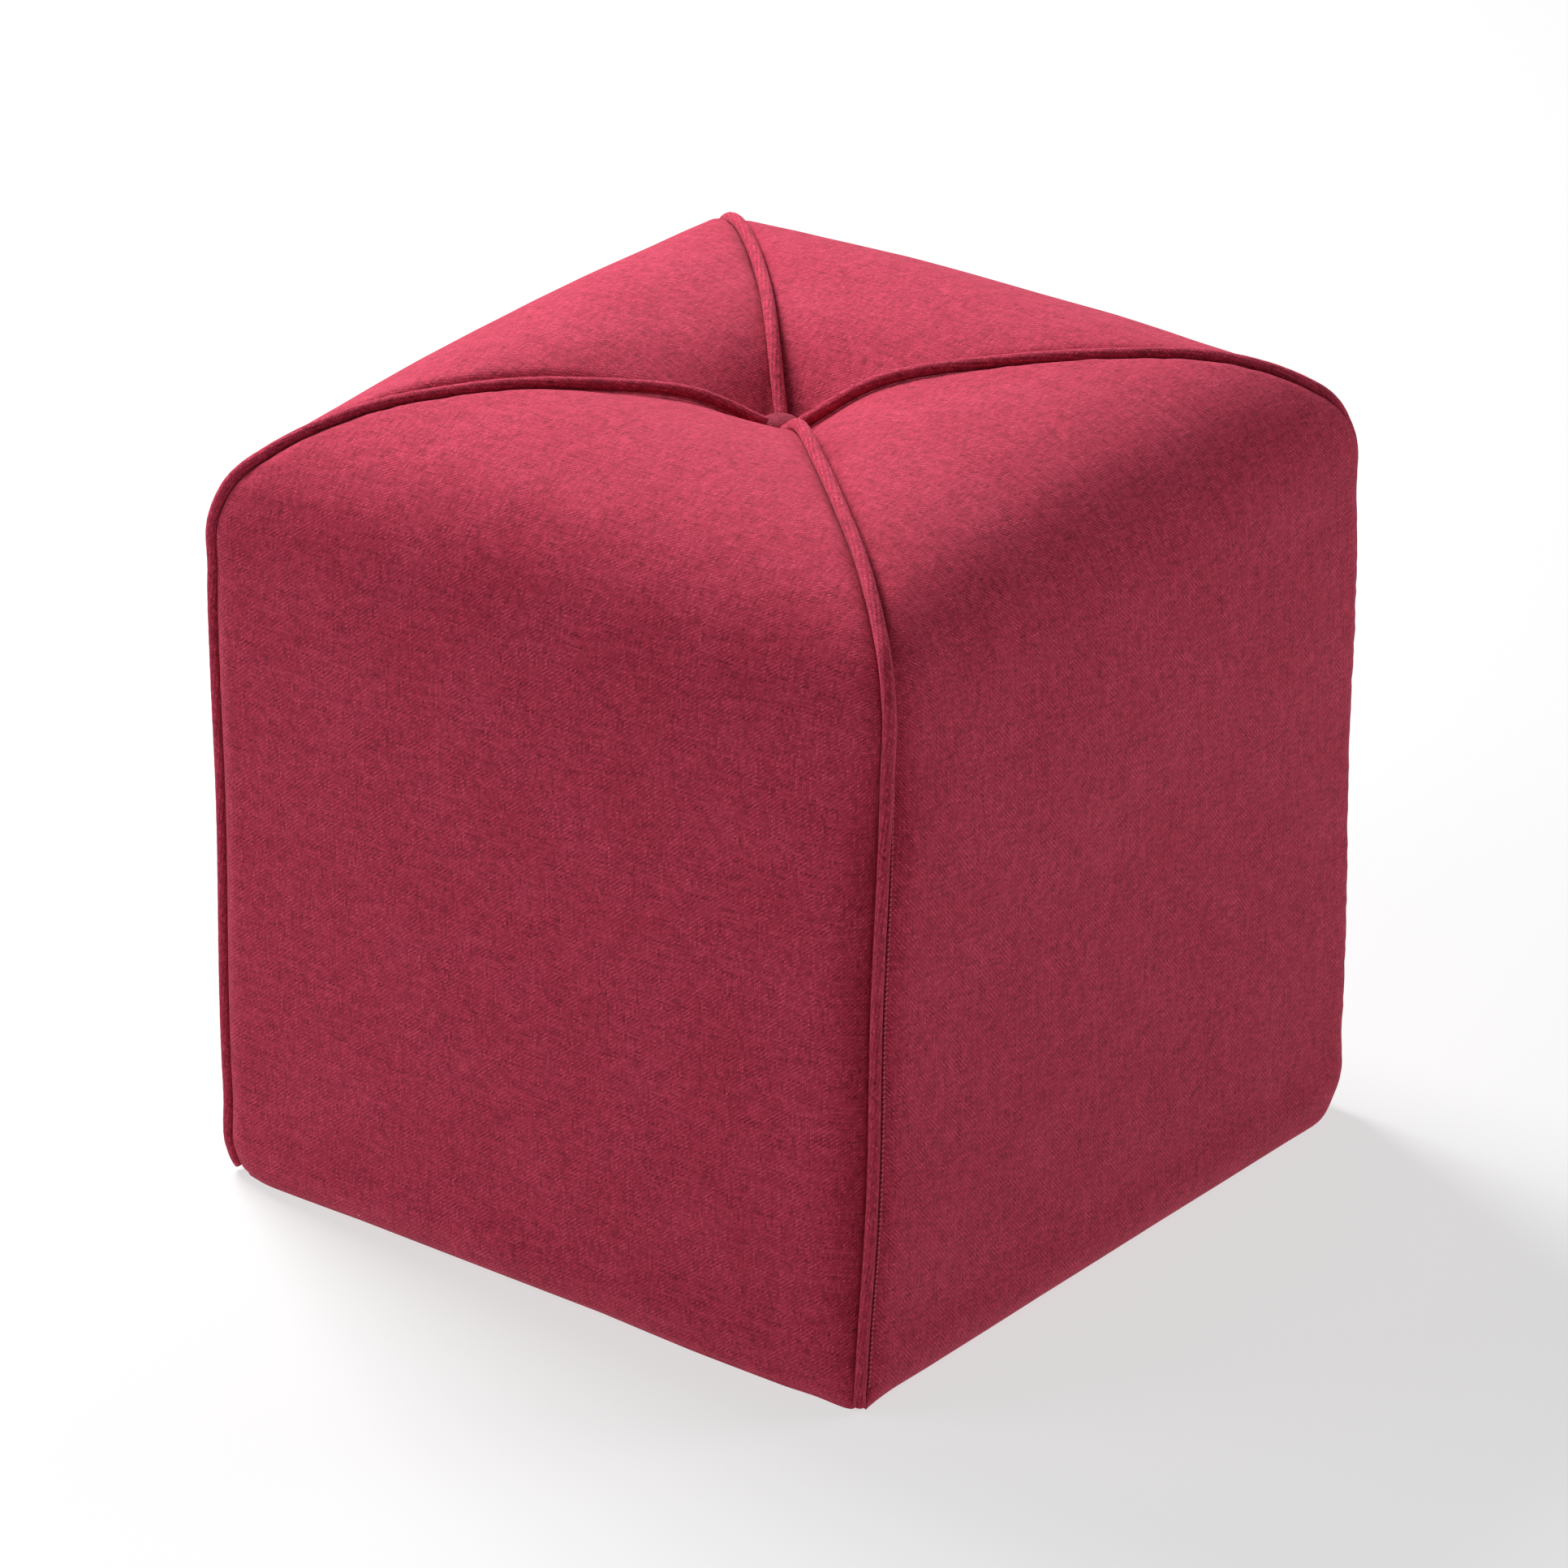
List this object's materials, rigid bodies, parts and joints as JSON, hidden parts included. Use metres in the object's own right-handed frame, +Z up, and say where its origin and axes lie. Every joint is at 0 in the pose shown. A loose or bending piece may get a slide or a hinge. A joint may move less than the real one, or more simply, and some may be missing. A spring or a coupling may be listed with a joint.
{
  "type": "pouf stool",
  "caption": "Cube-shaped filled pouf stool with piped seams that meet at a pulled-in covered button on its dished top.",
  "frame": {"origin": "centre of the underside, on the floor", "axes": "+Z up; -Y is the outward side of panel_front; +X is the outward side of panel_right"},
  "size_m": [0.4145, 0.4133, 0.4196],
  "materials": {
    "pouf_cloth": "melange twill weave, matt",
    "welt_cloth": "bias-cut strip of the same weave over a cord",
    "button_cloth": "the same weave stretched over a button",
    "base_cloth": "plain flat cloth"
  },
  "bodies": {
    "root": {"panel_front": "pouf_cloth", "panel_right": "pouf_cloth", "panel_back": "pouf_cloth", "panel_left": "pouf_cloth", "welt_front_right": "welt_cloth", "welt_back_right": "welt_cloth", "welt_back_left": "welt_cloth", "welt_front_left": "welt_cloth", "button": "button_cloth", "base": "base_cloth"}
  },
  "joints": []
}
